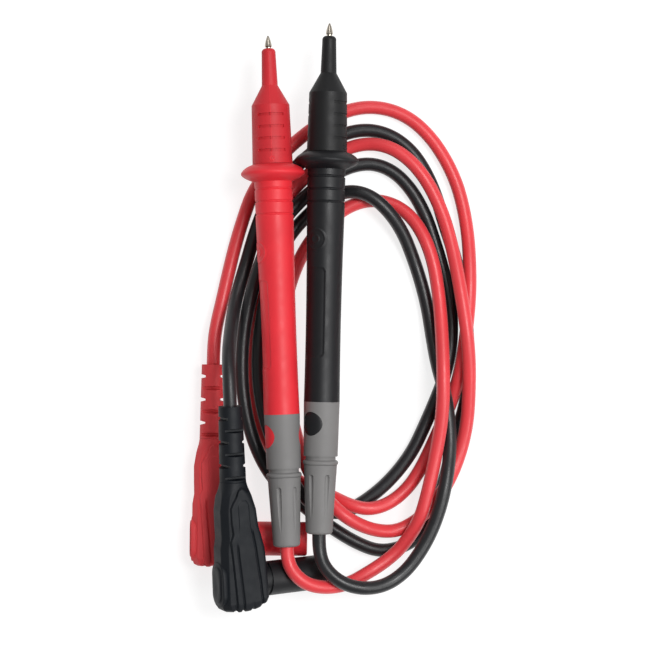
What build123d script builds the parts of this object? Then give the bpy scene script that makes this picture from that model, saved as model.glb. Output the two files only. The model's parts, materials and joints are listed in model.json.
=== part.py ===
"""A pair of multimeter test leads, one red and one black, lying as a loose bundle on a flat surface.

Each lead has a hand probe with a slide-off tip cap, a limp silicone cord, and a right-angled,
shrouded 4 mm banana plug. Millimetres, +Z up, tips towards +Y, the resting surface at Z = 0.
"""
from build123d import *
import os
from math import pi, radians, tan

# ---------------------------------------------------------------- driving dimensions
CORD_DIA = 4.0

# where the probes lie: tip and rear end of each axis
PROBE_HEIGHT = 16.0
PROBES = {
    "red": ((-1.2, 82.7, PROBE_HEIGHT), (4.3, -66.6, 16.8)),
    "black": ((16.85, 86.38, PROBE_HEIGHT), (13.75, -63.0, PROBE_HEIGHT)),
}
CAP_PATCH_ROLL = {"red": 0.0, "black": -60.0}       # turn of the cap's grip patches from straight up
DOT_ROLL = {"red": 69.0, "black": 39.0}             # turn of the colour dots and label panel
FLUTE_ROLL = {"red": 20.0, "black": 34.0}           # turn of the rear bushing's flutes

# where the plugs lie: cord end and far end of each axis, and the roll about it
PLUG_LENGTH = 59.8
PLUGS = {
    "red": ((-17.7, -13.65, 5.5), (-18.3, -73.45, 5.5)),
    "black": ((-12.0, -25.45, 21.61), (-10.12, -85.07, 17.44)),
}
PLUG_ROLL = {"red": 0.0, "black": 27.0}             # the black plug tips its shroud to the surface

# probe, stations along the axis from the tip
NEEDLE_R = 0.98
NEEDLE_END = 46.0
CAP_FRONT = 3.8
CAP_NOSE_END = 14.6
CAP_SHOULDER = 20.4
CAP_REAR = 37.6
CAP_BORE_R = 4.4
NOSE_FRONT = 19.0
NOSE_SHOULDER = 22.0
NOSE_R = 4.2
GUARD_R = 9.4
HANDLE_FRONT = 42.7
HANDLE_MID = 85.0
HANDLE_REAR = 110.7
HANDLE_R = 5.55
WAIST_R = 5.15
SPIGOT_R = 3.9
SPIGOT_END = 122.8
SLEEVE_END = 126.6
SLEEVE_FRONT_R = 5.25
SLEEVE_REAR_R = 5.0
DOT_STATION = 117.1
DOT_DIA = 7.0
PROBE_LENGTH = 149.4
RING_STATIONS = (44.9, 48.6, 52.3)
GRIP_STATIONS = (23.4, 26.9, 30.3, 33.8)
CABLE_BORE_R = 2.05
FERRULE_START = NEEDLE_END - 4.0
FERRULE_R = 1.6
CABLE_SEAT = 57.0
TAIL_START = 60.0

# plug, stations along the axis from the cord end, offsets from the axis towards the shroud
RELIEF_LENGTH = 21.9
RELIEF_TOP_R = 3.45
RELIEF_BASE_R = 3.9
FIRST_SLOT = 3.5
SLOT_PITCH = 3.45
SLOT_MOUTH = 1.5
SLOT_FLOOR = 0.6
PLUG_BACK = -5.4
PLUG_HALF_THICKNESS = 5.5
PIN_STATION = 51.6
SHROUD_R = 5.05
SHROUD_BORE_R = 4.0
SHROUD_ROOT_R = 4.55
SHROUD_ROOT = 4.0
SHROUD_STEP = 9.7
SHROUD_END = 28.4
BUSH_END = 9.0
PIN_R = 2.0
COLLAR_END = 15.0
PIN_TIP = 27.3
PIN_HEAD_R = 3.2
TAIL_END = 38.0
CRIMP_R = 1.6
PAD_LENGTH = 13.4
PAD_WIDTH = 9.2
PAD_PROUD = 1.0
PAD_STATION = 51.8

# body sections of the plug: station, back, front, half thickness, corner radius
PLUG_SECTIONS = (
    (21.95, -3.9, 3.9, 3.9, 3.7),
    (25.1, -4.5, 4.6, 4.5, 3.6),
    (30.1, -5.0, 5.9, 5.1, 2.6),
    (34.8, -4.9, 6.3, 5.3, 2.3),
    (38.3, -4.4, 7.3, 5.3, 2.2),
    (41.3, -5.3, 8.1, PLUG_HALF_THICKNESS, 2.2),
    (46.6, PLUG_BACK, 8.6, PLUG_HALF_THICKNESS, 2.2),
    (57.4, PLUG_BACK, 9.1, PLUG_HALF_THICKNESS, 2.2),
    (PLUG_LENGTH, -4.0, 7.4, 4.2, 1.8),
)

# ---------------------------------------------------------------- cord routes
# Corners of each cord's path from the probe's rear end to the plug's strain relief.
ROUTES = {
    "red": (
        PROBES["red"][1], (4.46, -70.9, 16.8), (6.8, -75.0, 17.5), (10.8, -78.0, 17.0), (16.6, -79.0, 14.8),
        (22.4, -78.2, 11.4), (28.0, -75.4, 8.4), (33.0, -72.4, 7.0), (37.4, -68.8, 6.4), (41.0, -64.0, 7.4),
        (43.8, -58.6, 9.6), (45.6, -52.4, 9.8), (47.2, -45.6, 9.6), (48.6, -38.4, 9.6), (49.8, -31.0, 10.4),
        (50.4, -23.4, 11.2), (50.4, -15.6, 11.0), (50.2, -7.0, 9.2), (49.8, 1.4, 7.2), (49.0, 9.4, 6.2),
        (47.6, 17.4, 6.0), (44.9, 24.8, 5.6), (40.8, 31.0, 3.8), (35.4, 34.6, 2.2), (28.8, 35.6, 2.1),
        (22.4, 33.6, 2.1), (16.6, 29.2, 2.1), (11.0, 23.4, 2.1), (7.0, 16.0, 2.1), (4.2, 7.6, 2.1),
        (2.6, -1.6, 2.1), (2.2, -11.4, 2.1), (3.6, -21.4, 2.1), (5.8, -31.0, 2.1), (8.2, -39.6, 3.4),
        (11.4, -47.2, 6.2), (15.8, -53.4, 9.0), (21.0, -58.2, 10.8), (26.4, -61.4, 9.4), (32.0, -63.2, 6.4),
        (37.2, -63.2, 4.4), (42.0, -60.8, 3.8), (46.2, -57.0, 5.8), (50.2, -51.8, 6.6), (53.6, -45.6, 6.0),
        (56.2, -38.4, 5.4), (57.8, -30.6, 6.2), (58.2, -22.4, 7.8), (58.2, -13.6, 9.8), (57.5, -4.6, 10.4),
        (56.2, 4.4, 10.0), (54.8, 13.0, 8.8), (53.2, 21.2, 7.4), (51.2, 29.0, 6.6), (48.4, 36.0, 6.5),
        (44.8, 42.4, 6.5), (40.2, 47.6, 6.4), (34.6, 51.2, 5.4), (28.2, 52.4, 3.4), (21.4, 50.8, 2.2),
        (14.6, 46.6, 2.1), (8.0, 40.8, 2.1), (2.4, 34.0, 2.1), (-1.0, 26.0, 2.1), (-3.4, 17.8, 2.1),
        (-4.8, 9.6, 2.1), (-5.8, 1.2, 2.1), (-6.6, -7.6, 2.1), (-6.6, -16.6, 2.1), (-5.6, -25.2, 2.1),
        (-3.4, -33.4, 2.1), (0.4, -41.0, 2.1), (5.4, -47.2, 2.1), (11.2, -50.8, 2.1), (17.2, -52.8, 3.8),
        (23.2, -55.6, 6.6), (29.0, -56.8, 6.2), (35.0, -55.0, 3.8), (40.2, -50.8, 2.2), (44.0, -45.2, 2.1),
        (47.3, -38.4, 2.1), (50.4, -31.4, 2.1), (53.4, -24.4, 3.3), (55.5, -16.8, 5.4), (56.9, -8.8, 6.3),
        (57.9, -0.4, 6.2), (58.6, 8.0, 5.8), (58.6, 16.4, 4.8), (58.2, 24.6, 3.2), (57.0, 32.6, 2.2),
        (55.0, 40.2, 2.1), (51.6, 47.6, 2.1), (47.0, 54.4, 2.1), (41.2, 59.8, 2.1), (34.4, 62.8, 2.1),
        (27.0, 63.4, 2.1), (19.6, 61.4, 2.1), (12.4, 57.4, 2.1), (5.4, 51.8, 2.1), (-1.0, 45.2, 2.1),
        (-6.2, 37.8, 2.1), (-9.0, 29.8, 2.1), (-11.4, 21.8, 2.1), (-13.4, 13.6, 2.1), (-15.2, 5.4, 2.8),
        (-16.8, -1.6, 4.6), (-17.64, -7.8, 5.5), PLUGS["red"][0],
    ),
    "black": (
        PROBES["black"][1], (13.65, -68.0, 16.0), (15.5, -73.2, 17.1), (20.4, -77.4, 17.4), (26.8, -79.2, 16.2),
        (33.4, -78.4, 13.8), (39.6, -75.2, 12.2), (45.0, -69.6, 11.4), (49.0, -62.8, 11.0), (51.8, -55.4, 11.0),
        (53.4, -47.4, 10.6), (53.9, -39.0, 9.4), (53.2, -30.6, 7.6), (51.2, -22.2, 7.0), (48.8, -13.8, 5.6),
        (47.4, -5.2, 3.0), (46.2, 3.0, 2.1), (44.2, 11.0, 2.1), (41.6, 18.8, 2.4), (38.6, 26.0, 4.4),
        (34.2, 32.2, 6.4), (28.8, 36.8, 6.6), (22.4, 38.2, 5.2), (16.0, 35.8, 3.2), (10.0, 30.8, 2.2),
        (4.8, 24.8, 2.8), (1.0, 17.6, 4.6), (-1.3, 9.8, 6.0), (-3.0, 1.6, 6.2), (-4.2, -7.2, 6.2),
        (-4.4, -16.2, 6.2), (-3.4, -25.0, 6.3), (-1.2, -33.2, 6.4), (1.8, -41.0, 6.5), (5.4, -48.0, 6.4),
        (9.6, -53.6, 6.2), (14.6, -57.1, 5.2), (20.9, -58.3, 2.4), (27.4, -54.6, 2.1), (33.0, -50.2, 2.1),
        (38.0, -44.8, 2.1), (42.0, -39.0, 2.1), (45.0, -32.6, 2.1), (48.0, -25.8, 2.1), (51.0, -18.2, 2.1),
        (53.1, -9.6, 2.1), (53.5, -0.8, 2.1), (52.4, 7.8, 2.1), (50.5, 15.8, 2.1), (48.1, 23.6, 2.1),
        (45.4, 31.4, 2.1), (41.4, 38.6, 2.1), (36.0, 44.2, 2.1), (29.4, 46.6, 2.1), (22.4, 45.4, 2.1),
        (15.4, 41.4, 2.3), (8.4, 35.4, 3.4), (2.8, 29.0, 5.5), (-1.6, 22.0, 6.3), (-4.6, 14.0, 6.3),
        (-6.9, 5.4, 6.2), (-8.6, -3.4, 6.2), (-9.3, -12.4, 6.2), (-9.0, -21.4, 6.2), (-7.6, -30.2, 6.2),
        (-5.0, -38.6, 6.2), (-1.2, -46.0, 5.4), (3.4, -51.2, 3.6), (8.2, -55.2, 2.2), (13.2, -59.4, 2.1),
        (18.8, -63.4, 2.1), (24.8, -67.0, 2.1), (31.4, -69.6, 2.1), (38.2, -68.6, 2.1), (44.0, -64.9, 2.1),
        (48.2, -58.9, 2.1), (50.4, -51.4, 2.1), (52.4, -43.8, 2.1), (54.2, -36.0, 2.1), (56.8, -28.4, 2.1),
        (58.3, -20.6, 2.1), (58.4, -12.2, 2.1), (58.1, -3.8, 2.1), (57.2, 4.6, 2.1), (55.8, 12.8, 2.1),
        (53.7, 20.8, 2.1), (51.0, 28.8, 2.1), (48.8, 36.6, 2.1), (45.8, 43.6, 2.1), (41.8, 49.8, 2.1),
        (36.2, 54.4, 2.1), (29.4, 56.6, 2.1), (22.2, 55.8, 2.1), (15.2, 52.4, 2.1), (8.4, 47.0, 2.1),
        (2.2, 40.6, 2.1), (-2.6, 33.4, 2.1), (-5.6, 25.2, 2.1), (-7.8, 17.4, 2.1), (-10.1, 9.6, 3.4),
        (-11.6, 2.6, 7.0), (-12.3, -4.0, 12.8), (-12.7, -10.6, 18.2), (-12.24, -17.8, 22.14),
        PLUGS["black"][0],
    ),
}


# ---------------------------------------------------------------- helpers
def axis_frame(start, end, turn):
    """A plane at start, its Z running to end, and its X up for a turn of 0."""
    along = Vector(*end) - Vector(*start)
    across = Vector(0, 0, 1).cross(along)
    return rolled(Plane(origin=start, x_dir=along.cross(across), z_dir=along), turn)


def rolled(frame, turn):
    """The frame turned about its own Z axis."""
    x_dir = frame.x_dir.rotate(Axis((0, 0, 0), frame.z_dir), turn)
    return Plane(origin=frame.origin, x_dir=x_dir, z_dir=frame.z_dir)


def lengthwise(frame):
    """The plane through the frame's axis: first coordinate from the axis, second along it."""
    return Plane(origin=frame.origin, x_dir=frame.x_dir, z_dir=-frame.y_dir)


def axis_of(frame):
    return Axis(frame.origin, frame.z_dir)


def outward(frame, station, radius):
    """A plane at a station and a radius on the frame's X side, facing away from the axis, Y along it."""
    place = frame.from_local_coords((radius, 0, station))
    return Plane(origin=place, x_dir=-frame.y_dir, z_dir=frame.x_dir)


def turned(frame, outline):
    """A solid of revolution about the frame's axis, from (radius, station) corners."""
    with BuildPart() as solid:
        with BuildSketch(lengthwise(frame)):
            with BuildLine():
                Polyline(*outline, close=True)
            make_face()
        revolve(axis=axis_of(frame))
    return solid


def save(piece, name):
    piece.part.label = name
    export_step(piece.part, f"parts/{name}.step")


# ---------------------------------------------------------------- probe
def tip_needle(frame):
    bullet_length = 3.1
    bullet_r = 1.08
    neck_r = 0.8
    with BuildPart() as needle:
        with BuildSketch(lengthwise(frame)):
            with BuildLine():
                Line((0, 0), (0.2, 0))
                ThreePointArc((0.2, 0), (0.74, 1.4), (bullet_r, bullet_length))
                Polyline((bullet_r, bullet_length), (neck_r, 3.35), (neck_r, 3.65), (NEEDLE_R, 3.9),
                         (NEEDLE_R, NEEDLE_END), (0, NEEDLE_END), (0, 0))
            make_face()
        revolve(axis=axis_of(frame))
    return needle


def tip_cap(frame):
    nose_front_r = 2.05
    nose_rear_r = 2.35
    shoulder_r = 5.55
    rear_r = 5.9
    bore_r = 1.15
    bore_end = 18.7
    cone_end = 21.8
    groove_depth = 0.4
    groove_width = 0.8
    half_arc = 42.0
    with BuildPart() as cap:
        with BuildSketch(lengthwise(frame)):
            with BuildLine():
                Line((bore_r, CAP_FRONT), (1.35, CAP_FRONT))
                ThreePointArc((1.35, CAP_FRONT), (1.84, CAP_FRONT + 0.4), (nose_front_r, CAP_FRONT + 1.3))
                Polyline((nose_front_r, CAP_FRONT + 1.3), (nose_rear_r, CAP_NOSE_END),
                         (shoulder_r, CAP_SHOULDER), (rear_r, CAP_REAR), (CAP_BORE_R, CAP_REAR),
                         (CAP_BORE_R, cone_end), (2.1, bore_end), (bore_r, bore_end), (bore_r, CAP_FRONT))
            make_face()
        revolve(axis=axis_of(frame))
        for side in (0, 180):
            for station in GRIP_STATIONS:
                surface_r = shoulder_r + (rear_r - shoulder_r) * (station - CAP_SHOULDER) / (CAP_REAR - CAP_SHOULDER)
                with BuildSketch(lengthwise(rolled(frame, side - half_arc))):
                    with Locations((surface_r, station)):
                        Rectangle(2 * groove_depth, groove_width)
                revolve(axis=axis_of(frame), revolution_arc=2 * half_arc, mode=Mode.SUBTRACT)
    return cap


def shell_patch(frame, station, length, width, floor_r):
    """A rounded patch standing out from floor_r, to press a shallow panel into a round handle."""
    with BuildPart() as patch:
        with BuildSketch(outward(frame, station, 1.0)):
            RectangleRounded(width, length, 0.45 * min(length, width))
        extrude(amount=HANDLE_R)
        with BuildSketch(frame.offset(station - length)):
            Circle(floor_r)
        extrude(amount=2 * length, mode=Mode.SUBTRACT)
    return patch


def colour_dots(frame):
    """Two round bosses on opposite sides, crowned to the sleeve's surface."""
    with BuildPart() as dots:
        for side in (0, 180):
            with BuildSketch(outward(rolled(frame, side), DOT_STATION, SPIGOT_R - 1.2)):
                Circle(DOT_DIA / 2 - 0.05)
            extrude(amount=HANDLE_R)
        with BuildSketch(frame.offset(HANDLE_REAR)):
            Circle(SLEEVE_REAR_R + 0.12)
        extrude(amount=SLEEVE_END - HANDLE_REAR, mode=Mode.INTERSECT)
    return dots


def probe_body(frame):
    """The moulded handle: nose, finger guard, grip, and the spigot that the grey sleeve covers."""
    guard_root = 37.65
    rim_front = 39.6
    rim_rear = 40.9
    rim_r = GUARD_R - 0.3
    ring_depth = 0.35
    ring_width = 0.9
    label = shell_patch(frame, 84.7, 26.2, 7.6, 4.95)
    emblem = shell_patch(frame, 63.5, 6.2, 6.2, 5.2)
    dots = colour_dots(frame)
    with BuildPart() as body:
        with BuildSketch(lengthwise(frame)):
            with BuildLine():
                Polyline((NEEDLE_R + 0.02, NOSE_FRONT), (1.9, NOSE_FRONT), (NOSE_R, NOSE_SHOULDER),
                         (NOSE_R, guard_root), (5.9, guard_root))
                ThreePointArc((5.9, guard_root), (7.8, 38.45), (rim_r, rim_front))
                ThreePointArc((rim_r, rim_front), (GUARD_R, (rim_front + rim_rear) / 2), (rim_r, rim_rear))
                ThreePointArc((rim_r, rim_rear), (7.8, 41.8), (HANDLE_R, HANDLE_FRONT))
                Line((HANDLE_R, HANDLE_FRONT), (HANDLE_R, 55.0))
                ThreePointArc((HANDLE_R, 55.0), (WAIST_R, HANDLE_MID), (SLEEVE_FRONT_R, HANDLE_REAR))
                Polyline((SLEEVE_FRONT_R, HANDLE_REAR), (SPIGOT_R, HANDLE_REAR), (SPIGOT_R, SPIGOT_END),
                         (CABLE_BORE_R, SPIGOT_END), (CABLE_BORE_R, CABLE_SEAT),
                         (FERRULE_R + 0.05, CABLE_SEAT), (FERRULE_R + 0.05, FERRULE_START),
                         (NEEDLE_R + 0.02, FERRULE_START),
                         (NEEDLE_R + 0.02, NOSE_FRONT))
            make_face()
        revolve(axis=axis_of(frame))
        with BuildSketch(lengthwise(frame)):
            with Locations(*[(HANDLE_R, station) for station in RING_STATIONS]):
                Rectangle(2 * ring_depth, ring_width)
        revolve(axis=axis_of(frame), mode=Mode.SUBTRACT)
        add(label.part, mode=Mode.SUBTRACT)
        add(emblem.part, mode=Mode.SUBTRACT)
        add(dots.part)
        with BuildSketch(frame.offset(CABLE_SEAT)):
            Circle(CABLE_BORE_R)
        extrude(amount=SPIGOT_END - CABLE_SEAT, mode=Mode.SUBTRACT)
    return body


def rear_sleeve(frame):
    """The grey sleeve over the spigot, with a round window on two sides for the colour dots."""
    bore_r = SPIGOT_R + 0.05
    blank = turned(frame, [(bore_r, HANDLE_REAR + 0.03), (SLEEVE_FRONT_R, HANDLE_REAR + 0.03),
                           (SLEEVE_REAR_R, SLEEVE_END), (bore_r, SLEEVE_END)])
    with BuildPart() as sleeve:
        add(blank.part)
        for side in (0, 180):
            with BuildSketch(outward(rolled(frame, side), DOT_STATION, 0.0)):
                Circle(DOT_DIA / 2)
            extrude(amount=HANDLE_R + 1, mode=Mode.SUBTRACT)
    return sleeve


def rear_bushing(frame):
    """The tapered bushing that grips the cord, with a bead ring and six flutes that fade rearwards."""
    groove_r = 4.4
    bead_r = 5.0
    bead_start = 127.8
    taper_start = 129.2
    taper_front_r = 4.85
    taper_rear_r = 3.95
    round_r = 0.9
    flute_r = 0.75
    flute_front = (4.75, 132.6)
    flute_rear = (4.85, 146.0)
    with BuildPart() as bushing:
        with BuildSketch(lengthwise(frame)):
            with BuildLine():
                Polyline((CABLE_BORE_R, SPIGOT_END + 0.1), (SPIGOT_R - 0.05, SPIGOT_END + 0.1),
                         (SPIGOT_R - 0.05, SLEEVE_END + 0.03), (groove_r, SLEEVE_END + 0.03),
                         (groove_r, bead_start), (bead_r - 0.3, bead_start))
                RadiusArc((bead_r - 0.3, bead_start), (bead_r - 0.3, taper_start), -0.75)
                Polyline((bead_r - 0.3, taper_start), (taper_front_r, taper_start),
                         (taper_rear_r, PROBE_LENGTH - round_r))
                RadiusArc((taper_rear_r, PROBE_LENGTH - round_r), (taper_rear_r - round_r, PROBE_LENGTH), -round_r)
                Polyline((taper_rear_r - round_r, PROBE_LENGTH), (CABLE_BORE_R, PROBE_LENGTH),
                         (CABLE_BORE_R, SPIGOT_END + 0.1))
            make_face()
        revolve(axis=axis_of(frame))
        for turn in range(0, 360, 60):
            flute = rolled(frame, turn)
            front = flute.from_local_coords((flute_front[0], 0, flute_front[1]))
            rear = flute.from_local_coords((flute_rear[0], 0, flute_rear[1]))
            with BuildSketch(Plane(origin=front, z_dir=rear - front)):
                Circle(flute_r)
            extrude(amount=(rear - front).length, mode=Mode.SUBTRACT)
            with Locations(front):
                Sphere(flute_r, mode=Mode.SUBTRACT)
    return bushing


def needle_ferrule(frame):
    """The crimped ferrule that joins the needle's rear to the cable's core."""
    return turned(frame, [(0, NEEDLE_END), (NEEDLE_R, NEEDLE_END), (NEEDLE_R, FERRULE_START),
                          (FERRULE_R, FERRULE_START), (FERRULE_R, CABLE_SEAT), (1.1, TAIL_START),
                          (0, TAIL_START)])


def cable_tail(frame, start, end):
    """The straight end of the cord inside a housing."""
    return turned(frame, [(0, start), (CORD_DIA / 2, start), (CORD_DIA / 2, end), (0, end)])


# ---------------------------------------------------------------- plug
def strain_relief(frame):
    """A tapered boot with V-shaped slots, in turn from the two sides and from the front and back."""
    web = CABLE_BORE_R + 0.05
    boot = turned(frame, [(CABLE_BORE_R, 0), (RELIEF_TOP_R, 0), (RELIEF_BASE_R, RELIEF_LENGTH),
                          (CABLE_BORE_R, RELIEF_LENGTH)])
    with BuildPart() as relief:
        add(boot.part)
        for number in range(6):
            middle = FIRST_SLOT + number * SLOT_PITCH
            for side in (0, 180):
                with BuildSketch(lengthwise(rolled(frame, side + 90 * (number % 2)))):
                    with BuildLine():
                        Polyline((web, middle - SLOT_FLOOR / 2), (RELIEF_BASE_R + 0.2, middle - SLOT_MOUTH / 2),
                                 (RELIEF_BASE_R + 0.2, middle + SLOT_MOUTH / 2), (web, middle + SLOT_FLOOR / 2),
                                 close=True)
                    make_face()
                extrude(amount=5, both=True, mode=Mode.SUBTRACT)
    return relief


def plug_frame_across(frame):
    """The plane at the pin's station, its Z running along the pin and shroud."""
    place = frame.from_local_coords((0, 0, PIN_STATION))
    return Plane(origin=place, x_dir=frame.z_dir, z_dir=frame.x_dir)


def plug_body(frame):
    pin_frame = plug_frame_across(frame)
    root_bore_r = SHROUD_ROOT_R + 0.05
    bore_end = PIN_STATION - 1.0
    with BuildPart() as body:
        for station, back, front, half, corner in PLUG_SECTIONS:
            with BuildSketch(frame.offset(station)):
                with Locations(((back + front) / 2, 0)):
                    RectangleRounded(front - back, 2 * half, corner)
        loft(ruled=True)
        with BuildSketch(frame.offset(RELIEF_LENGTH)):
            Circle(CABLE_BORE_R)
        extrude(amount=bore_end - RELIEF_LENGTH, mode=Mode.SUBTRACT)
        with BuildSketch(pin_frame.offset(-2.5)):
            Circle(root_bore_r)
        extrude(amount=20, mode=Mode.SUBTRACT)
    return body


def plug_shroud(frame):
    pin_frame = plug_frame_across(frame)
    lip_r = 0.8
    with BuildPart() as shroud:
        with BuildSketch(lengthwise(pin_frame)):
            with BuildLine():
                Polyline((SHROUD_BORE_R, SHROUD_ROOT), (SHROUD_ROOT_R, SHROUD_ROOT),
                         (SHROUD_ROOT_R, SHROUD_STEP), (SHROUD_R, SHROUD_STEP),
                         (SHROUD_R, SHROUD_END - lip_r))
                RadiusArc((SHROUD_R, SHROUD_END - lip_r), (SHROUD_R - lip_r, SHROUD_END), -lip_r)
                Polyline((SHROUD_R - lip_r, SHROUD_END), (SHROUD_BORE_R, SHROUD_END),
                         (SHROUD_BORE_R, SHROUD_ROOT))
            make_face()
        revolve(axis=axis_of(pin_frame))
    return shroud


def pin_bush(frame):
    return turned(plug_frame_across(frame), [(1.82, SHROUD_ROOT), (SHROUD_BORE_R - 0.03, SHROUD_ROOT),
                                             (SHROUD_BORE_R - 0.03, BUSH_END), (1.82, BUSH_END)])


def banana_pin(frame):
    """A 4 mm pin: head, root, full-size collar, recess for the contact spring and rounded nose."""
    pin_frame = plug_frame_across(frame)
    head = 1.8
    nose_r = 1.9
    round_r = 0.8
    with BuildPart() as pin:
        with BuildSketch(lengthwise(pin_frame)):
            with BuildLine():
                Polyline((0, -head), (PIN_HEAD_R, -head), (PIN_HEAD_R, head), (1.8, head), (1.8, BUSH_END),
                         (PIN_R, BUSH_END), (PIN_R, COLLAR_END), (1.45, COLLAR_END), (1.45, 25.0),
                         (nose_r, 25.0), (nose_r, PIN_TIP - round_r))
                RadiusArc((nose_r, PIN_TIP - round_r), (nose_r - round_r, PIN_TIP), -round_r)
                Polyline((nose_r - round_r, PIN_TIP), (0, PIN_TIP), (0, -head))
            make_face()
        revolve(axis=axis_of(pin_frame))
    return pin


def contact_spring(frame):
    """A lantern spring: two end rings joined by six bowed strips."""
    pin_frame = plug_frame_across(frame)
    thickness = 0.18
    with BuildPart() as spring:
        with BuildSketch(lengthwise(pin_frame)):
            with BuildLine():
                Line((1.5, 15.2), (1.5, 16.2))
                ThreePointArc((1.5, 16.2), (1.8, 20.0), (1.5, 23.8))
                Polyline((1.5, 23.8), (1.5, 24.8), (1.5 + thickness, 24.8), (1.5 + thickness, 23.8))
                ThreePointArc((1.5 + thickness, 23.8), (1.8 + thickness, 20.0), (1.5 + thickness, 16.2))
                Polyline((1.5 + thickness, 16.2), (1.5 + thickness, 15.2), (1.5, 15.2))
            make_face()
        revolve(axis=axis_of(pin_frame))
        for turn in range(0, 360, 60):
            with BuildSketch(outward(rolled(pin_frame, turn), 20.0, 0.5)):
                SlotOverall(7.0, 0.6, rotation=90)
            extrude(amount=2, mode=Mode.SUBTRACT)
    return spring


def wire_crimp(frame):
    """The crimp between the cable's core and the pin's head."""
    crimp_end = PIN_STATION - PIN_HEAD_R - 0.1
    return turned(frame, [(0, TAIL_END), (CRIMP_R, TAIL_END), (CRIMP_R, crimp_end), (0, crimp_end)])


def thumb_pad(frame, body):
    """A raised oval pad whose foot follows the back of the plug's body."""
    foot_depth = 1.0
    with BuildPart() as pad:
        with BuildSketch(outward(rolled(frame, 180), PAD_STATION, -PLUG_BACK - foot_depth)):
            SlotOverall(PAD_LENGTH, PAD_WIDTH, rotation=90)
        extrude(amount=PAD_PROUD + foot_depth)
        fillet(pad.faces().sort_by(Axis(frame.origin, frame.x_dir))[0].edges(), 0.5)
        add(body.part, mode=Mode.SUBTRACT)
    return pad


# ---------------------------------------------------------------- cord
def corner_radii(points):
    """One radius for each corner: 0.45 of the shorter run over the tangent of half the turn."""
    radii = []
    for before, here, after in zip(points, points[1:], points[2:]):
        turn = (here - before).get_angle(after - here)
        shorter = min((here - before).length, (after - here).length)
        radii.append(0.45 * shorter / tan(radians(turn / 2)))
    return radii


def cord(colour):
    points = [Vector(*point) for point in ROUTES[colour]]
    radii = corner_radii(points)
    with BuildPart() as tube:
        with BuildLine() as path:
            FilletPolyline(*points, radius=radii)
        with BuildSketch(Plane(origin=points[0], z_dir=points[1] - points[0])):
            Circle(CORD_DIA / 2)
        sweep()
    length = sum(edge.length for edge in path.line.edges())
    section = pi * CORD_DIA ** 2 / 4
    print(f"{colour} cord: {len(points)} points, {length:.1f} mm, tightest radius {min(radii):.1f} mm,",
          f"volume over section x length {tube.part.volume / (section * length):.4f}")
    print("  radii:", " ".join(f"{radius:.0f}" for radius in radii))
    return tube


# ---------------------------------------------------------------- the two leads
os.makedirs("parts", exist_ok=True)
for colour in ("red", "black"):
    tip, rear = PROBES[colour]
    cap_frame = axis_frame(tip, rear, CAP_PATCH_ROLL[colour])
    probe = axis_frame(tip, rear, DOT_ROLL[colour])
    bushing_frame = axis_frame(tip, rear, FLUTE_ROLL[colour])
    cord_end, far_end = PLUGS[colour]
    plug = axis_frame(cord_end, far_end, -90 - PLUG_ROLL[colour])

    save(tip_needle(probe), f"{colour}_tip_needle")
    save(tip_cap(cap_frame), f"{colour}_tip_cap")
    save(probe_body(probe), f"{colour}_probe_body")
    save(rear_sleeve(probe), f"{colour}_rear_sleeve")
    save(rear_bushing(bushing_frame), f"{colour}_rear_bushing")
    save(needle_ferrule(probe), f"{colour}_needle_ferrule")
    save(cable_tail(probe, TAIL_START, PROBE_LENGTH), f"{colour}_cable_tail_in_probe")

    save(strain_relief(plug), f"{colour}_strain_relief")
    body = plug_body(plug)
    save(body, f"{colour}_plug_body")
    save(cable_tail(plug, 0, TAIL_END), f"{colour}_cable_tail_in_plug")
    save(wire_crimp(plug), f"{colour}_wire_crimp")
    save(plug_shroud(plug), f"{colour}_plug_shroud")
    save(pin_bush(plug), f"{colour}_pin_bush")
    save(banana_pin(plug), f"{colour}_banana_pin")
    save(contact_spring(plug), f"{colour}_contact_spring")
    save(thumb_pad(plug, body), f"{colour}_thumb_pad")

    save(cord(colour), f"{colour}_cord")
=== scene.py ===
import json
import math

import bpy
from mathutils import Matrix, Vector


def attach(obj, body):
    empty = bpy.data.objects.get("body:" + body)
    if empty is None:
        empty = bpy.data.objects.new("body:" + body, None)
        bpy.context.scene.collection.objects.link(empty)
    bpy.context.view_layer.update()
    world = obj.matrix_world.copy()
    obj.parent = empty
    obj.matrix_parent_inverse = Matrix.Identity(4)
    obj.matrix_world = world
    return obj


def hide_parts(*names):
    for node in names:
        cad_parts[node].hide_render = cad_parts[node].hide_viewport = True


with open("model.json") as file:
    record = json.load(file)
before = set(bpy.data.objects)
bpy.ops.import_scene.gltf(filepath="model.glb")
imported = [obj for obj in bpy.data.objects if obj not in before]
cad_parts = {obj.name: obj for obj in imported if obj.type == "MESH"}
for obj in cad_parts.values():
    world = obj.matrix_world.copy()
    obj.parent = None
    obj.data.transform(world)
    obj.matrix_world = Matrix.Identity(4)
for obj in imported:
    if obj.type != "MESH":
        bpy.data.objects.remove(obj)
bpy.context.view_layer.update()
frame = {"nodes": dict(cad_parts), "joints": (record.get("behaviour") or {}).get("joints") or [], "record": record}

MM = 0.001
COLOURS = ("red", "black")

# ---------------------------------------------------------------- camera, floor and light
CAMERA_HEIGHT = 0.65
CAMERA_AIM = (0.0155, -0.0019)
CAMERA_LENS = 120.0
SENSOR_WIDTH = 36.0
FLOOR_SIZE = 4.0
FLOOR_GREY = 0.28
FLOOR_GLOW = 0.775         # the floor's own white light, which keeps the shadows faint
FLOOR_ROUGHNESS = 0.9
WORLD_STRENGTH = 0.36
WHITE = (1.0, 1.0, 1.0, 1.0)
# name, place, diameter and power
LIGHTS = (
    ("key_light", (0.36, 0.14, 0.90), 0.35, 5.8),
    ("fill_light", (0.60, -0.25, 0.60), 0.4, 2.2),
    ("back_light", (0.05, 0.65, 0.70), 0.4, 1.0),
)


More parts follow.
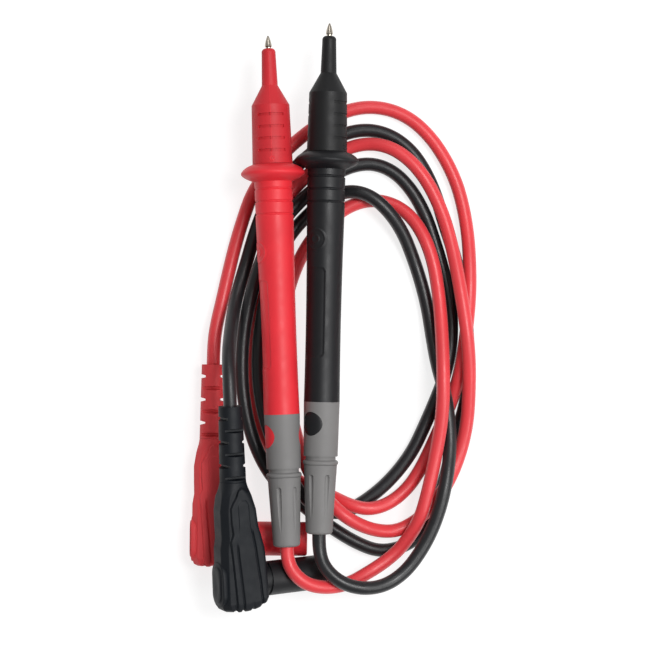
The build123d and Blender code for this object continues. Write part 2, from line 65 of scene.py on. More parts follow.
def camera():
    data = bpy.data.cameras.new("camera")
    data.lens = CAMERA_LENS
    data.sensor_width = SENSOR_WIDTH
    view = bpy.data.objects.new("camera", data)
    view.location = (*CAMERA_AIM, CAMERA_HEIGHT)
    bpy.context.scene.collection.objects.link(view)
    bpy.context.scene.camera = view


def area_light(name, place, size, power):
    """A round soft light that points at the middle of the object."""
    data = bpy.data.lights.new(name, "AREA")
    data.shape = "DISK"
    data.size = size
    data.energy = power
    lamp = bpy.data.objects.new(name, data)
    lamp.location = place
    aim = Vector((*CAMERA_AIM, 0.0)) - lamp.location
    lamp.rotation_euler = aim.to_track_quat("-Z", "Y").to_euler()
    bpy.context.scene.collection.objects.link(lamp)


def studio():
    bpy.ops.mesh.primitive_plane_add(size=FLOOR_SIZE, location=(0, 0, 0))
    floor = bpy.context.object
    floor.name = "floor"
    paper = bpy.data.materials.new("paper_floor")
    paper.use_nodes = True
    shader = paper.node_tree.nodes["Principled BSDF"]
    shader.inputs["Base Color"].default_value = (FLOOR_GREY, FLOOR_GREY, FLOOR_GREY, 1.0)
    shader.inputs["Emission Color"].default_value = WHITE
    shader.inputs["Emission Strength"].default_value = FLOOR_GLOW
    shader.inputs["Roughness"].default_value = FLOOR_ROUGHNESS
    floor.data.materials.append(paper)
    world = bpy.data.worlds.new("soft_world")
    world.use_nodes = True
    background = world.node_tree.nodes["Background"]
    background.inputs["Color"].default_value = WHITE
    background.inputs["Strength"].default_value = WORLD_STRENGTH
    bpy.context.scene.world = world
    bpy.context.scene.view_settings.view_transform = "Standard"
    for light in LIGHTS:
        area_light(*light)


# ---------------------------------------------------------------- materials
# the middle part of a noise's range, which is spread over the whole of what it drives
NOISE_LOW = 0.3
NOISE_HIGH = 0.7
FINE_DETAIL = 3.0          # one octave more than noise() gives by itself


def shader_of(name, roughness, specular=0.5, metallic=0.0):
    """A new material, and its Principled shader, node tree and object-space coordinates."""
    material = bpy.data.materials.new(name)
    material.use_nodes = True
    tree = material.node_tree
    shader = tree.nodes["Principled BSDF"]
    shader.inputs["Roughness"].default_value = roughness
    shader.inputs["Specular IOR Level"].default_value = specular
    shader.inputs["Metallic"].default_value = metallic
    place = tree.nodes.new("ShaderNodeTexCoord").outputs["Object"]
    return material, shader, tree, place


def noise(tree, place, size_mm, detail=2.0, stretch=None):
    """Noise whose features are about size_mm across, and stretched along the three axes if asked."""
    texture = tree.nodes.new("ShaderNodeTexNoise")
    texture.inputs["Scale"].default_value = 1.0 / (size_mm * MM)
    texture.inputs["Detail"].default_value = detail
    if stretch:
        mapping = tree.nodes.new("ShaderNodeMapping")
        mapping.inputs["Scale"].default_value = stretch
        tree.links.new(place, mapping.inputs["Vector"])
        place = mapping.outputs["Vector"]
    tree.links.new(place, texture.inputs["Vector"])
    return texture.outputs["Fac"]


def mottle(tree, shader, fac, colour, spread):
    """Base colour that wanders a little darker and lighter than the given one."""
    ramp = tree.nodes.new("ShaderNodeValToRGB")
    dark, light = ramp.color_ramp.elements
    dark.position = NOISE_LOW
    dark.color = (*(value * (1 - spread) for value in colour), 1)
    light.position = NOISE_HIGH
    light.color = (*(min(1.0, value * (1 + spread)) for value in colour), 1)
    tree.links.new(fac, ramp.inputs["Fac"])
    tree.links.new(ramp.outputs["Color"], shader.inputs["Base Color"])


def worn_gloss(tree, shader, fac, low, high):
    """Roughness that wanders between two values."""
    spread = tree.nodes.new("ShaderNodeMapRange")
    spread.inputs["From Min"].default_value = NOISE_LOW
    spread.inputs["From Max"].default_value = NOISE_HIGH
    spread.inputs["To Min"].default_value = low
    spread.inputs["To Max"].default_value = high
    tree.links.new(fac, spread.inputs["Value"])
    tree.links.new(spread.outputs["Result"], shader.inputs["Roughness"])


def relief(tree, shader, heights):
    """Bumps of several scales: (height output, depth in mm) pairs, one on the other."""
    normal = None
    for height, depth_mm in heights:
        bump = tree.nodes.new("ShaderNodeBump")
        bump.inputs["Strength"].default_value = 1.0
        bump.inputs["Distance"].default_value = depth_mm * MM
        tree.links.new(height, bump.inputs["Height"])
        if normal:
            tree.links.new(normal, bump.inputs["Normal"])
        normal = bump.outputs["Normal"]
    tree.links.new(normal, shader.inputs["Normal"])


def moulded(name, colour, gloss, grain_mm, grain_depth, specular=0.35, spread=0.05):
    """Moulded plastic or rubber: spark-eroded grain on faint waves, tint drift and handled gloss."""
    drift_mm = 9.0
    handling_mm = 3.0
    wave_mm = 6.0
    wave_depth = 0.02
    material, shader, tree, place = shader_of(name, gloss[0], specular)
    mottle(tree, shader, noise(tree, place, drift_mm), colour, spread)
    worn_gloss(tree, shader, noise(tree, place, handling_mm), *gloss)
    relief(tree, shader, [(noise(tree, place, wave_mm), wave_depth),
                          (noise(tree, place, grain_mm, FINE_DETAIL), grain_depth)])
    return material


def silicone(name, colour):
    """Extruded silicone: faint waves, a fine skin, a dusty bloom and a soft sheen."""
    drift_mm = 14.0
    drift_spread = 0.06
    bloom_mm = 2.2
    gloss = (0.34, 0.46)
    even_gloss = 0.36
    wave_mm = 4.0
    wave_depth = 0.02
    skin_mm = 0.25
    skin_depth = 0.004
    sheen = 0.12
    sheen_roughness = 0.5
    material, shader, tree, place = shader_of(name, even_gloss)
    mottle(tree, shader, noise(tree, place, drift_mm, FINE_DETAIL), colour, drift_spread)
    worn_gloss(tree, shader, noise(tree, place, bloom_mm, FINE_DETAIL), *gloss)
    relief(tree, shader, [(noise(tree, place, wave_mm), wave_depth),
                          (noise(tree, place, skin_mm), skin_depth)])
    shader.inputs["Sheen Weight"].default_value = sheen
    shader.inputs["Sheen Roughness"].default_value = sheen_roughness
    return material


def turned_metal(name, colour, gloss):
    """Turned and plated metal: fine rings across the length and a few dull spots."""
    drift_mm = 1.5
    drift_spread = 0.04
    spot_mm = 0.8
    ring_mm = 0.35
    ring_depth = 0.006
    across_length = (0.15, 2.5, 0.15)
    material, shader, tree, place = shader_of(name, gloss[0], metallic=1.0)
    mottle(tree, shader, noise(tree, place, drift_mm, FINE_DETAIL), colour, drift_spread)
    worn_gloss(tree, shader, noise(tree, place, spot_mm, FINE_DETAIL), *gloss)
    relief(tree, shader, [(noise(tree, place, ring_mm, stretch=across_length), ring_depth)])
    return material


BASE = {"red": (0.70, 0.024, 0.035), "black": (0.0052, 0.0055, 0.0070)}
CAP = {"red": (0.52, 0.019, 0.027), "black": (0.0070, 0.0070, 0.0076)}
BOOT = {"red": (0.64, 0.046, 0.053), "black": (0.0028, 0.0045, 0.0072)}
JACKET = {"red": (0.68, 0.038, 0.047), "black": (0.0054, 0.0056, 0.0072)}
GREY = (0.177, 0.173, 0.171)
NICKEL = (0.50, 0.45, 0.38)
BRASS = (0.74, 0.52, 0.22)

MATERIALS = {
    "grey_rubber": moulded("grey_rubber", GREY, gloss=(0.52, 0.62), grain_mm=0.22, grain_depth=0.018,
                           spread=0.04),
    "nickel": turned_metal("nickel", NICKEL, gloss=(0.18, 0.30)),
    "brass": turned_metal("brass", BRASS, gloss=(0.25, 0.40)),
}
for colour in COLOURS:
    plastic = f"{colour}_plastic"
    cap_plastic = f"{colour}_cap_plastic"
    boot = f"{colour}_boot"
    jacket = f"{colour}_silicone"
    MATERIALS[plastic] = moulded(plastic, BASE[colour], gloss=(0.42, 0.52), grain_mm=0.26, grain_depth=0.014)
    MATERIALS[cap_plastic] = moulded(cap_plastic, CAP[colour], gloss=(0.48, 0.58), grain_mm=0.26,
                                     grain_depth=0.018, specular=0.30)
    MATERIALS[boot] = moulded(boot, BOOT[colour], gloss=(0.50, 0.60), grain_mm=0.30, grain_depth=0.030,
                              specular=0.28)
    MATERIALS[jacket] = silicone(jacket, JACKET[colour])


def dress(node, material):
    node.data.materials.clear()
    node.data.materials.append(material)


def dress_frame():
    """Every CAD node takes the material of its slot in the record, and the tip caps a duller plastic."""
    for entry in frame["record"]["subparts"]:
        dress(frame["nodes"][entry["node"]], MATERIALS[entry["material_slot"]])
    for colour in COLOURS:
        dress(frame["nodes"][f"{colour}_tip_cap"], MATERIALS[f"{colour}_cap_plastic"])


# ---------------------------------------------------------------- cords
CORD_DIAMETER = 0.004
# The CAD tubes' route points, in millimetres, from probe to plug. Seven of the black cord's,
# on its first way up the right side, are moved by up to 2.1 mm.
ROUTES_MM = {
    "red": (
        (4.3, -66.6, 16.8), (4.46, -70.9, 16.8), (6.8, -75.0, 17.5), (10.8, -78.0, 17.0),
        (16.6, -79.0, 14.8), (22.4, -78.2, 11.4), (28.0, -75.4, 8.4), (33.0, -72.4, 7.0),
        (37.4, -68.8, 6.4), (41.0, -64.0, 7.4), (43.8, -58.6, 9.6), (45.6, -52.4, 9.8), (47.2, -45.6, 9.6),
        (48.6, -38.4, 9.6), (49.8, -31.0, 10.4), (50.4, -23.4, 11.2), (50.4, -15.6, 11.0),
        (50.2, -7.0, 9.2), (49.8, 1.4, 7.2), (49.0, 9.4, 6.2), (47.6, 17.4, 6.0), (44.9, 24.8, 5.6),
        (40.8, 31.0, 3.8), (35.4, 34.6, 2.2), (28.8, 35.6, 2.1), (22.4, 33.6, 2.1), (16.6, 29.2, 2.1),
        (11.0, 23.4, 2.1), (7.0, 16.0, 2.1), (4.2, 7.6, 2.1), (2.6, -1.6, 2.1), (2.2, -11.4, 2.1),
        (3.6, -21.4, 2.1), (5.8, -31.0, 2.1), (8.2, -39.6, 3.4), (11.4, -47.2, 6.2), (15.8, -53.4, 9.0),
        (21.0, -58.2, 10.8), (26.4, -61.4, 9.4), (32.0, -63.2, 6.4), (37.2, -63.2, 4.4), (42.0, -60.8, 3.8),
        (46.2, -57.0, 5.8), (50.2, -51.8, 6.6), (53.6, -45.6, 6.0), (56.2, -38.4, 5.4), (57.8, -30.6, 6.2),
        (58.2, -22.4, 7.8), (58.2, -13.6, 9.8), (57.5, -4.6, 10.4), (56.2, 4.4, 10.0), (54.8, 13.0, 8.8),
        (53.2, 21.2, 7.4), (51.2, 29.0, 6.6), (48.4, 36.0, 6.5), (44.8, 42.4, 6.5), (40.2, 47.6, 6.4),
        (34.6, 51.2, 5.4), (28.2, 52.4, 3.4), (21.4, 50.8, 2.2), (14.6, 46.6, 2.1), (8.0, 40.8, 2.1),
        (2.4, 34.0, 2.1), (-1.0, 26.0, 2.1), (-3.4, 17.8, 2.1), (-4.8, 9.6, 2.1), (-5.8, 1.2, 2.1),
        (-6.6, -7.6, 2.1), (-6.6, -16.6, 2.1), (-5.6, -25.2, 2.1), (-3.4, -33.4, 2.1), (0.4, -41.0, 2.1),
        (5.4, -47.2, 2.1), (11.2, -50.8, 2.1), (17.2, -52.8, 3.8), (23.2, -55.6, 6.6), (29.0, -56.8, 6.2),
        (35.0, -55.0, 3.8), (40.2, -50.8, 2.2), (44.0, -45.2, 2.1), (47.3, -38.4, 2.1), (50.4, -31.4, 2.1),
        (53.4, -24.4, 3.3), (55.5, -16.8, 5.4), (56.9, -8.8, 6.3), (57.9, -0.4, 6.2), (58.6, 8.0, 5.8),
        (58.6, 16.4, 4.8), (58.2, 24.6, 3.2), (57.0, 32.6, 2.2), (55.0, 40.2, 2.1), (51.6, 47.6, 2.1),
        (47.0, 54.4, 2.1), (41.2, 59.8, 2.1), (34.4, 62.8, 2.1), (27.0, 63.4, 2.1), (19.6, 61.4, 2.1),
        (12.4, 57.4, 2.1), (5.4, 51.8, 2.1), (-1.0, 45.2, 2.1), (-6.2, 37.8, 2.1), (-9.0, 29.8, 2.1),
        (-11.4, 21.8, 2.1), (-13.4, 13.6, 2.1), (-15.2, 5.4, 2.8), (-16.8, -1.6, 4.6), (-17.64, -7.8, 5.5),
        (-17.7, -13.65, 5.5),
    ),
    "black": (
        (13.75, -63.0, 16.0), (13.65, -68.0, 16.0), (15.5, -73.2, 17.1), (20.4, -77.4, 17.4),
        (26.8, -79.2, 16.2), (33.4, -78.4, 13.8), (39.2, -74.6, 12.2), (43.8, -68.6, 11.4),
        (47.3, -62.0, 11.0), (49.8, -54.8, 11.0), (51.5, -47.2, 10.5), (52.6, -39.0, 7.9),
        (52.4, -30.8, 7.0), (51.2, -22.2, 7.0), (48.8, -13.8, 5.6), (47.4, -5.2, 3.0), (46.2, 3.0, 2.1),
        (44.2, 11.0, 2.1), (41.6, 18.8, 2.4), (38.6, 26.0, 4.4), (34.2, 32.2, 6.4), (28.8, 36.8, 6.6),
        (22.4, 38.2, 5.2), (16.0, 35.8, 3.2), (10.0, 30.8, 2.2), (4.8, 24.8, 2.8), (1.0, 17.6, 4.6),
        (-1.3, 9.8, 6.0), (-3.0, 1.6, 6.2), (-4.2, -7.2, 6.2), (-4.4, -16.2, 6.2), (-3.4, -25.0, 6.3),
        (-1.2, -33.2, 6.4), (1.8, -41.0, 6.5), (5.4, -48.0, 6.4), (9.6, -53.6, 6.2), (14.6, -57.1, 5.2),
        (20.9, -58.3, 2.4), (27.4, -54.6, 2.1), (33.0, -50.2, 2.1), (38.0, -44.8, 2.1), (42.0, -39.0, 2.1),
        (45.0, -32.6, 2.1), (48.0, -25.8, 2.1), (51.0, -18.2, 2.1), (53.1, -9.6, 2.1), (53.5, -0.8, 2.1),
        (52.4, 7.8, 2.1), (50.5, 15.8, 2.1), (48.1, 23.6, 2.1), (45.4, 31.4, 2.1), (41.4, 38.6, 2.1),
        (36.0, 44.2, 2.1), (29.4, 46.6, 2.1), (22.4, 45.4, 2.1), (15.4, 41.4, 2.3), (8.4, 35.4, 3.4),
        (2.8, 29.0, 5.5), (-1.6, 22.0, 6.3), (-4.6, 14.0, 6.3), (-6.9, 5.4, 6.2), (-8.6, -3.4, 6.2),
        (-9.3, -12.4, 6.2), (-9.0, -21.4, 6.2), (-7.6, -30.2, 6.2), (-5.0, -38.6, 6.2), (-1.2, -46.0, 5.4),
        (3.4, -51.2, 3.6), (8.2, -55.2, 2.2), (13.2, -59.4, 2.1), (18.8, -63.4, 2.1), (24.8, -67.0, 2.1),
        (31.4, -69.6, 2.1), (38.2, -68.6, 2.1), (44.0, -64.9, 2.1), (48.2, -58.9, 2.1), (50.4, -51.4, 2.1),
        (52.4, -43.8, 2.1), (54.2, -36.0, 2.1), (56.8, -28.4, 2.1), (58.3, -20.6, 2.1), (58.4, -12.2, 2.1),
        (58.1, -3.8, 2.1), (57.2, 4.6, 2.1), (55.8, 12.8, 2.1), (53.7, 20.8, 2.1), (51.0, 28.8, 2.1),
        (48.8, 36.6, 2.1), (45.8, 43.6, 2.1), (41.8, 49.8, 2.1), (36.2, 54.4, 2.1), (29.4, 56.6, 2.1),
        (22.2, 55.8, 2.1), (15.2, 52.4, 2.1), (8.4, 47.0, 2.1), (2.2, 40.6, 2.1), (-2.6, 33.4, 2.1),
        (-5.6, 25.2, 2.1), (-7.8, 17.4, 2.1), (-10.1, 9.6, 3.4), (-11.6, 2.6, 7.0), (-12.3, -4.0, 12.8),
        (-12.7, -10.6, 18.2), (-12.24, -17.8, 22.14), (-12.0, -25.45, 21.61),
    ),
}


def route(colour):
    return [Vector(point) * MM for point in ROUTES_MM[colour]]


def cord(colour):
    """One open NURBS spline on the route's points, from the probe's bushing to the plug's strain relief."""
    points = route(colour)
    data = bpy.data.curves.new(f"{colour}_cord_jacket", "CURVE")
    data.dimensions = "3D"
    data.bevel_depth = CORD_DIAMETER / 2
    data.bevel_resolution = 7
    data.resolution_u = 8
    data.use_fill_caps = True
    spline = data.splines.new("NURBS")
    spline.points.add(len(points) - 1)
    for control, point in zip(spline.points, points):
        control.co = (*point, 1.0)
    spline.order_u = 3
    spline.use_endpoint_u = True
    spline.use_smooth = True
    data.materials.append(MATERIALS[f"{colour}_silicone"])
    jacket = bpy.data.objects.new(f"{colour}_cord_jacket", data)
    bpy.context.scene.collection.objects.link(jacket)
    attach(jacket, "root")
    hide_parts(f"{colour}_cord")


# ---------------------------------------------------------------- probe and plug frames
PROBE_LENGTH = 149.4
PIN_MOUNT_OUT = 12.0       # from the plug's axis to the pin's mount


def local_frames():
    """Probe and plug frames in metres: origin, direction along, direction out, direction across."""
    frames = {}
    axes = {joint["child"]: Vector(joint["axis"]).normalized() for joint in frame["joints"]}
    pins = {mount["name"]: mount for mount in frame["record"]["mounts"]}
    for colour in COLOURS:
        points = route(colour)
        along = -axes[f"{colour}_cap"]
        tip = points[0] - along * PROBE_LENGTH * MM
        up = (Vector((0, 0, 1)) - along * along.z).normalized()
        frames[colour, "probe"] = (tip, along, up, along.cross(up))
        pin = pins[f"{colour}_plug_pin"]
        out = Vector(pin["axis"]).normalized()
        on_axis = Vector(pin["pos_m"]) - out * PIN_MOUNT_OUT * MM
        along = (on_axis - points[-1]).normalized()
        frames[colour, "plug"] = (points[-1], along, out, along.cross(out))
    return frames


FRAMES = local_frames()


def at(place, out, across, station):
    """A point in the frame's own millimetres: out from the axis, across it, and along it."""
    origin, along, out_dir, across_dir = place
    return origin + (along * station + out_dir * out + across_dir * across) * MM


def on_round(place, roll, radius, arc, station):
    """A point on a round surface: arc is the distance round it, in mm, from the roll angle."""
    angle = math.radians(roll) + arc / radius
    return at(place, radius * math.cos(angle), radius * math.sin(angle), station)


# ---------------------------------------------------------------- mesh helpers
def mesh_piece(name, points, faces, body, slot):
    """A smooth-shaded object that rides on the body, in the slot's material."""
    data = bpy.data.meshes.new(name)
    data.from_pydata([tuple(point) for point in points], [], faces)
    data.validate()
    data.update()
    data.materials.append(MATERIALS[slot])
    for polygon in data.polygons:
        polygon.use_smooth = True
    piece = bpy.data.objects.new(name, data)
    bpy.context.scene.collection.objects.link(piece)
    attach(piece, body)
    return piece


def band(count, row, ahead):
    """Quads from one ring of count points to another."""
    faces = []
    for step in range(count):
        after = (step + 1) % count
        faces.append((row * count + step, row * count + after, ahead * count + after, ahead * count + step))
    return faces


def skin(rings):
    """Quads between rings of equal length, and a fan of triangles over each end ring."""
    count = len(rings[0])
    points = [point for ring in rings for point in ring]
    faces = []
    for row in range(len(rings) - 1):
        faces += band(count, row, row + 1)
    for ring, row in ((rings[0], 0), (rings[-1], len(rings) - 1)):
        middle = len(points)
        points.append(sum(ring, Vector()) / count)
        for step in range(count):
            pair = (row * count + step, row * count + (step + 1) % count)
            faces.append((*(pair if row else reversed(pair)), middle))
    return points, faces


def rise(value, start=0.0, length=1.0):
    """0 before start, 1 from start + length on, and a smooth step between them."""
    part = min(1.0, max(0.0, (value - start) / length))
    return part * part * (3 - 2 * part)


def between(table, station):
    """Linear interpolation in rows of (station, value, value, ...)."""
    if station <= table[0][0]:
        return table[0][1:]
    for row, after in zip(table, table[1:]):
        if station <= after[0]:
            part = (station - row[0]) / (after[0] - row[0])
            return tuple(a + (b - a) * part for a, b in zip(row[1:], after[1:]))
    return table[-1][1:]


# ---------------------------------------------------------------- plug bodies
# station, back, front, half thickness without the panels, corner radius
PLUG_SHAPE = (
    (21.95, -3.85, 3.85, 3.85, 3.8),
    (23.5, -4.1, 4.1, 4.1, 3.7),
    (26.1, -4.7, 4.9, 4.2, 2.8),
    (30.1, -5.35, 5.85, 4.25, 2.0),
    (34.8, -5.3, 6.25, 4.3, 1.8),
    (38.3, -5.2, 7.2, 4.3, 1.8),
    (41.3, -5.7, 8.0, 4.3, 1.8),
    (46.6, -5.7, 8.5, 4.3, 1.8),
    (57.4, -5.65, 9.0, 4.3, 1.8),
    (59.1, -5.1, 8.6, 3.9, 1.8),
    (59.75, -4.0, 7.4, 3.1, 1.8),
)
STATION_STEP = 0.3
SQUARE_START = 23.5        # the round neck turns into a body with flat sides
SQUARE_LENGTH = 3.0
BACK_CHAMFER = 1.8
CORNER_SLACK = 0.02        # keeps a corner smaller than the side that it is on
SIDE_STEPS = 4
CORNER_STEPS = 7
FLAT_STEPS = 76
# panels on the plug's flat sides: station, edge towards the back, edge towards the shroud
SHIELD = (
    (23.6, 0.75, 0.75), (23.8, 0.0, 1.6), (24.3, -0.5, 2.3), (25.0, -0.8, 3.0), (26.0, -1.2, 3.8),
    (27.5, -2.2, 5.0), (29.2, -3.1, 7.0), (33.7, -3.0, 9.0), (36.7, -2.6, 10.0), (39.2, -3.5, 12.0),
    (43.6, -3.0, 12.0), (48.6, -2.6, 12.0), (59.8, -1.8, 12.0),
)
SHIELD_HEIGHT = 0.8
TONGUE = (
    (27.1, 0.8, 0.8), (27.3, 0.0, 1.7), (27.8, -0.6, 2.2), (28.7, -0.95, 2.5), (34.7, -0.8, 2.85),
    (38.5, -1.3, 3.5),
)
TONGUE_HEIGHT = 0.22
TONGUE_FADE_START = 34.5
TONGUE_FADE_LENGTH = 4.0
PANEL_EDGE = 0.24          # width of a panel's sloping edge
PANEL_MARGIN = 1.0         # how far round the corner a panel reaches, and over how much it fades out
PANEL_FADE = 0.9
# grooves that run to the plug's far end: station, distance from the axis
GROOVES = (
    ((39.0, -1.4), (43.6, -1.1), (48.6, -0.57), (56.1, 0.14), (59.8, 0.35)),
    ((35.0, 3.2), (37.2, 3.6), (41.1, 4.3), (46.1, 4.9), (51.1, 5.6), (56.1, 6.0), (59.8, 6.2)),
)
GROOVE_DEPTH = 0.5
GROOVE_HALF_WIDTH = 0.45
GROOVE_RUN_IN = 2.5
# the far end: where it starts, how it slopes away to the shroud side, and the notches between its lobes
END_START = 54.0
END_LENGTH = 5.7
END_FALL = 2.4
END_FALL_START = 1.0
END_FALL_LENGTH = 8.0
NOTCHES = (-1.9, 0.2, 3.3, 6.4)
NOTCH_DEPTH = 0.5
NOTCH_HALF_WIDTH = 0.7


def inside(station, out, table):
    """0 to 1: how far a point is inside a panel's two long edges."""
    back, front = between(table, station)
    return rise(min(out - back, front - out), length=PANEL_EDGE)


def panel_height(station, out):
    """How far the shield and its tongue stand out of the plug's flat sides, less the long grooves."""
    shield = inside(station, out, SHIELD)
    tongue = inside(station, out, TONGUE) * (1 - rise(station, TONGUE_FADE_START, TONGUE_FADE_LENGTH))
    depth = 0.0
    for groove in GROOVES:
        away = abs(out - between(groove, station)[0])
        run_in = rise(station, groove[0][0], GROOVE_RUN_IN)
        depth += GROOVE_DEPTH * (1 - rise(away, length=GROOVE_HALF_WIDTH)) * run_in
    return SHIELD_HEIGHT * shield + TONGUE_HEIGHT * tongue - depth


def end_fall(out):
    """The lobed far end: it falls away to the shroud side, and is notched between the lobes."""
    slope = END_FALL * (max(0.0, out - END_FALL_START) / END_FALL_LENGTH) ** 2
    notch = min(abs(out - edge) for edge in NOTCHES)
    return slope + NOTCH_DEPTH * (1 - rise(notch, length=NOTCH_HALF_WIDTH))


def half_section(station):
    """Half of the plug's section, from the middle of its back to the middle of its front."""
    back, front, half, corner = between(PLUG_SHAPE, station)
    corner = min(corner, half - CORNER_SLACK, (front - back) / 2 - CORNER_SLACK)
    flatness = rise(station, SQUARE_START, SQUARE_LENGTH)
    chamfer = min(corner + (BACK_CHAMFER - corner) * flatness, half - CORNER_SLACK)
    outline = []
    for step in range(SIDE_STEPS):
        outline.append((back, (half - chamfer) * step / SIDE_STEPS))
    for step in range(CORNER_STEPS):
        part = step / CORNER_STEPS
        angle = math.pi / 2 * part
        over = (1 - math.cos(angle)) * (1 - flatness) + part * flatness
        high = math.sin(angle) * (1 - flatness) + part * flatness
        outline.append((back + chamfer * over, half - chamfer + chamfer * high))
    for step in range(FLAT_STEPS):
        outline.append((back + chamfer + (front - back - chamfer - corner) * step / FLAT_STEPS, half))
    for step in range(CORNER_STEPS):
        angle = math.pi / 2 * step / CORNER_STEPS
        outline.append((front - corner * (1 - math.sin(angle)), half - corner + corner * math.cos(angle)))
    for step in range(SIDE_STEPS):
        outline.append((front, (half - corner) * (1 - step / SIDE_STEPS)))
    return half, outline


def plug_ring(place, station):
    half, outline = half_section(station)
    mirrored = [(out, -high) for out, high in reversed(outline[1:])]
    end = rise(station, END_START, END_LENGTH)
    ring = []
    for out, high in outline + mirrored:
        lift = panel_height(station, out) * rise(abs(high), half - PANEL_MARGIN, PANEL_FADE)
        ring.append(at(place, out, math.copysign(abs(high) + lift, high), station - end * end_fall(out)))
    return ring


def plug_body(colour):
    place = FRAMES[colour, "plug"]
    first = PLUG_SHAPE[0][0]
    last = PLUG_SHAPE[-1][0]
    count = int((last - first) / STATION_STEP)
    rings = [plug_ring(place, first + (last - first) * row / count) for row in range(count + 1)]
    body = mesh_piece(f"{colour}_plug_overmould", *skin(rings), "root", f"{colour}_boot")
    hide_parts(f"{colour}_plug_body")


# ---------------------------------------------------------------- thumb pads
PAD_STATION = 51.8
PAD_LENGTH = 13.4
PAD_WIDTH = 8.0
PAD_STEPS = 48
# inset from the outline, distance from the plug's axis: foot, wall, rounded rim, raised and dished middle
PAD_PROFILE = ((0.0, 4.0), (0.0, 5.7), (0.1, 5.9), (0.3, 5.98), (1.15, 6.0), (1.25, 6.1), (1.3, 6.3),
               (1.5, 6.4), (2.6, 6.38), (3.7, 6.3))


def pad_outline(inset):
    """A stadium outline as (across, along) points, with the same number of points whatever the inset."""
    radius = PAD_WIDTH / 2 - inset
    straight = PAD_LENGTH / 2 - PAD_WIDTH / 2
    outline = []
    for step in range(PAD_STEPS):
        angle = 2 * math.pi * (step + 0.5) / PAD_STEPS
        shift = math.copysign(straight, math.sin(angle))
        outline.append((radius * math.cos(angle), shift + radius * math.sin(angle)))
    return outline


def thumb_pad(colour):
    place = FRAMES[colour, "plug"]
    rings = []
    for inset, height in PAD_PROFILE:
        outline = pad_outline(inset)
        rings.append([at(place, -height, across, PAD_STATION + along) for across, along in outline])
    pad = mesh_piece(f"{colour}_thumb_rest", *skin(rings), "root", f"{colour}_boot")
    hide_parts(f"{colour}_thumb_pad")


# ---------------------------------------------------------------- moulding marks on the caps
CAP_ROLL = {"red": 0.0, "black": -60.0}
# station and radius along the cap's outside, from its nose to its rear
CAP_PROFILE = ((4.4, 1.93), (5.6, 2.06), (9.0, 2.17), (14.4, 2.34), (14.8, 2.45), (17.6, 4.0), (20.2, 5.44),
               (20.9, 5.56), (28.0, 5.7), (36.0, 5.86), (37.3, 5.89))
SEAM_WIDTH = 0.22
SEAM_HEIGHT = 0.05
SEAM_FOOT = 0.05           # how far its edges are sunk in the cap
GATE_STATION = 36.3
GATE_SEAT_R = 5.86
GATE_R = 0.62
GATE_WIDTH = 0.34
GATE_HEIGHT = 0.12
GATE_STEPS = 20
# a low rounded bead: sideways in widths, up in heights
BEAD_SECTION = ((-0.5, -0.08), (-0.36, 0.62), (0.0, 1.0), (0.36, 0.62), (0.5, -0.08))


def cap_seam(colour, number, roll):
    """A fine ridge left by the mould's parting line, along the cap."""
    place = FRAMES[colour, "probe"]
    rings = []
    for station, radius in CAP_PROFILE:
        rings.append([on_round(place, roll, radius - SEAM_FOOT, -SEAM_WIDTH / 2, station),
                      on_round(place, roll, radius + SEAM_HEIGHT, 0.0, station),
                      on_round(place, roll, radius - SEAM_FOOT, SEAM_WIDTH / 2, station)])
    mesh_piece(f"{colour}_cap_seam_{number}", *skin(rings), f"{colour}_cap", f"{colour}_plastic")


def cap_gate_ring(colour):
    """The small round bead where the plastic entered the mould."""
    place = FRAMES[colour, "probe"]
    points = []
    faces = []
    for step in range(GATE_STEPS):
        turn = 2 * math.pi * step / GATE_STEPS
        for side, lift in BEAD_SECTION:
            reach = GATE_R + side * GATE_WIDTH
            points.append(on_round(place, CAP_ROLL[colour], GATE_SEAT_R + lift * GATE_HEIGHT,
                                   reach * math.cos(turn), GATE_STATION + reach * math.sin(turn)))
        faces += band(len(BEAD_SECTION), step, (step + 1) % GATE_STEPS)
    mesh_piece(f"{colour}_cap_gate_ring", points, faces, f"{colour}_cap", f"{colour}_plastic")


def cap_marks(colour):
    for number, side in enumerate((0, 180)):
        cap_seam(colour, number, CAP_ROLL[colour] + side)
    cap_gate_ring(colour)


# ---------------------------------------------------------------- handles
HANDLE_ROLL = {"red": 65.0, "black": 32.0}
HANDLE_SIDES = 176
SHARP_ANGLE = 40.0
# station and radius of the moulded body: nose, finger guard, waisted grip, spigot under the grey sleeve
NOSE_PROFILE = ((19.0, 1.0), (19.0, 1.9), (22.0, 4.2), (37.65, 4.2))
GUARD_ARCHES = (((37.65, 5.9), (38.45, 7.8), (39.6, 9.1)), ((39.6, 9.1), (40.25, 9.4), (40.9, 9.1)),
                ((40.9, 9.1), (41.8, 7.8), (42.7, 5.55)))
ARCH_STEPS = 8
WAIST = ((55.0, 5.55), (84.0, 5.15), (110.7, 5.25))
SPIGOT_PROFILE = ((110.7, 5.25), (110.7, 3.9), (122.8, 3.9), (122.8, 2.05))
# the grip's rings of points are closer where it has marks: from, to, spacing
RING_SPACING = ((42.8, 43.8, 0.25), (43.8, 53.8, 0.12), (53.8, 59.6, 0.4), (59.6, 98.4, 0.2),
                (98.4, 110.7, 0.8))
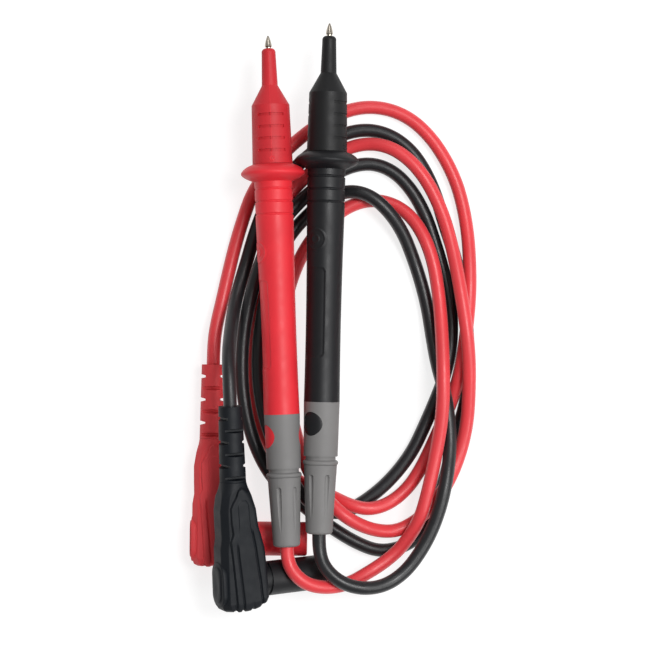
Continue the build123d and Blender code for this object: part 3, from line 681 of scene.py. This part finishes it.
# marks on the grip: finger rings, an emblem of two raised rings, and a sunken label panel
FINGER_RINGS = (44.9, 48.6, 52.3)
FINGER_RING_DEPTH = 0.3
FINGER_RING_HALF_WIDTH = 0.05
FINGER_RING_EDGE = 0.35
EMBLEM_STATION = 63.3
EMBLEM_HEIGHT = 0.16
EMBLEM_EDGE = 0.22
EMBLEM_RINGS = ((2.95, 0.12), (1.1, 0.10))      # radius, half width
LABEL_STATION = 84.6
LABEL_HALF_WIDTH = 3.2
LABEL_HALF_LENGTH = 13.1
LABEL_CORNER = 1.4
LABEL_DEPTH = 0.22
LABEL_EDGE = 0.35
# the round bosses that show through the sleeve
DOT_ROLL = {"red": 69.0, "black": 39.0}
DOT_STATION = 117.1
DOT_STEPS = 48
# distance from the boss's middle, distance from the probe's axis
DOT_PROFILE = ((3.45, 4.0), (3.45, 4.98), (3.38, 5.07), (3.2, 5.12), (2.4, 5.12), (1.6, 5.12), (0.8, 5.12))


def bow(first, middle, last, part):
    """A point on the smooth arch from first to last that goes through middle halfway."""
    peak = [2 * m - (a + b) / 2 for a, m, b in zip(first, middle, last)]
    return tuple((1 - part) ** 2 * a + 2 * part * (1 - part) * p + part ** 2 * b
                 for a, p, b in zip(first, peak, last))


def handle_profile():
    profile = list(NOSE_PROFILE)
    for arch in GUARD_ARCHES:
        profile += [bow(*arch, step / ARCH_STEPS) for step in range(ARCH_STEPS)]
    waist_start = WAIST[0][0]
    waist_end = WAIST[-1][0]
    for start, end, spacing in RING_SPACING:
        count = round((end - start) / spacing)
        for step in range(count):
            station = start + (end - start) * step / count
            part = max(0.0, (station - waist_start) / (waist_end - waist_start))
            profile.append((station, bow(*WAIST, part)[1]))
    return profile + list(SPIGOT_PROFILE)


def handle_mark(arc, station):
    """Height of the marks at a point of the grip."""
    height = 0.0
    for ring in FINGER_RINGS:
        away = abs(station - ring)
        height -= FINGER_RING_DEPTH * (1 - rise(away, FINGER_RING_HALF_WIDTH, FINGER_RING_EDGE))
    reach = math.hypot(arc, station - EMBLEM_STATION)
    for radius, half_width in EMBLEM_RINGS:
        height += EMBLEM_HEIGHT * (1 - rise(abs(reach - radius), half_width, EMBLEM_EDGE))
    wide = abs(arc) - LABEL_HALF_WIDTH + LABEL_CORNER
    long = abs(station - LABEL_STATION) - LABEL_HALF_LENGTH + LABEL_CORNER
    depth = LABEL_CORNER - math.hypot(max(0.0, wide), max(0.0, long))
    return height - LABEL_DEPTH * rise(depth, length=LABEL_EDGE)


def colour_dot(place, roll):
    """A round boss that fills the sleeve's window, crowned to the sleeve's surface."""
    rings = []
    for reach, radius in DOT_PROFILE:
        ring = []
        for step in range(DOT_STEPS):
            turn = 2 * math.pi * step / DOT_STEPS
            arc = math.asin(reach * math.cos(turn) / radius) * radius
            ring.append(on_round(place, roll, radius, arc, DOT_STATION + reach * math.sin(turn)))
        rings.append(ring)
    return skin(rings)


def handle(colour):
    """The moulded body of the probe, with the two bosses of the sleeve's windows."""
    place = FRAMES[colour, "probe"]
    rings = []
    for station, radius in handle_profile():
        ring = []
        for step in range(HANDLE_SIDES):
            turn = math.pi * (2 * step / HANDLE_SIDES - 1)
            reach = radius + handle_mark(turn * radius, station)
            ring.append(on_round(place, HANDLE_ROLL[colour], reach, turn * reach, station))
        rings.append(ring)
    points, faces = skin(rings)
    for side in (0, 180):
        dot_points, dot_faces = colour_dot(place, DOT_ROLL[colour] + side)
        faces += [tuple(index + len(points) for index in face) for face in dot_faces]
        points += dot_points
    body = mesh_piece(f"{colour}_handle", points, faces, "root", f"{colour}_plastic")
    body.data.set_sharp_from_angle(angle=math.radians(SHARP_ANGLE))
    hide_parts(f"{colour}_probe_body")


camera()
studio()
dress_frame()
for colour in COLOURS:
    plug_body(colour)
    thumb_pad(colour)
    cap_marks(colour)
    handle(colour)
for colour in COLOURS:
    cord(colour)
